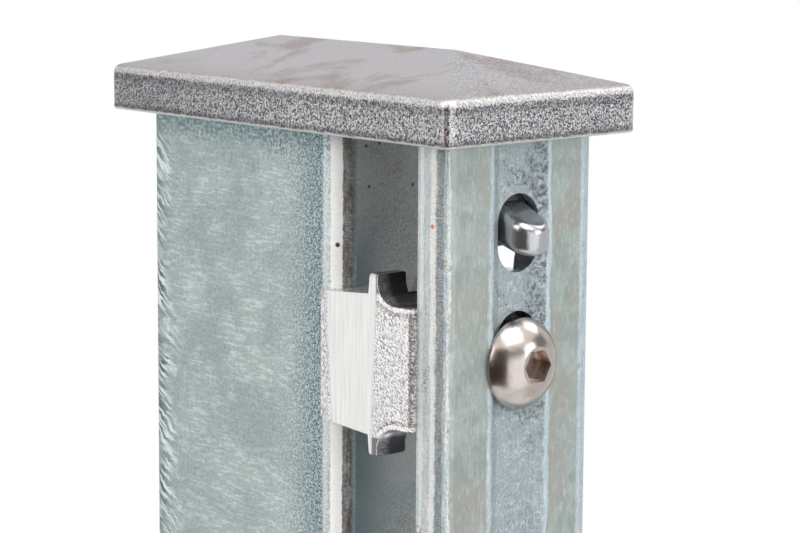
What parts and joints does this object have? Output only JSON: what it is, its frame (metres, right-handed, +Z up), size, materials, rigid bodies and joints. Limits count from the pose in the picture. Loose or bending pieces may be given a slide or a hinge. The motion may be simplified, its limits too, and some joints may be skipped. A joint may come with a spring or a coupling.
{
  "type": "metal fence post",
  "caption": "Galvanised box-section fence post with a slotted cover strip held on cast clamps, open side gaps for mesh panels and a hipped cast cap.",
  "frame": {"origin": "centre of the tube's lower cut end", "axes": "+Z up the post, -Y towards the front, where the cover strip and the screws are, +X to the right seen from the front"},
  "size_m": [0.0502, 0.1014, 1.1096],
  "materials": {
    "tube_zinc": "hot-dip galvanised, spangled",
    "strip_zinc": "hot-dip galvanised, rolled",
    "cap_cast": "as cast, grainy skirt",
    "clamp_cast": "as cast, sides ground bright",
    "screw_steel": "polished stainless",
    "nut_steel": "plain zinc plated"
  },
  "bodies": {
    "root": {"post_tube": "tube_zinc", "cover_strip": "strip_zinc", "post_cap": "cap_cast", "panel_clamp_1": "clamp_cast", "panel_clamp_2": "clamp_cast", "panel_clamp_3": "clamp_cast", "panel_clamp_4": "clamp_cast", "clamp_screw_1": "screw_steel", "clamp_screw_2": "screw_steel", "clamp_screw_3": "screw_steel", "clamp_screw_4": "screw_steel", "rivet_nut_1": "nut_steel", "rivet_nut_2": "nut_steel", "rivet_nut_3": "nut_steel", "rivet_nut_4": "nut_steel"}
  },
  "joints": []
}
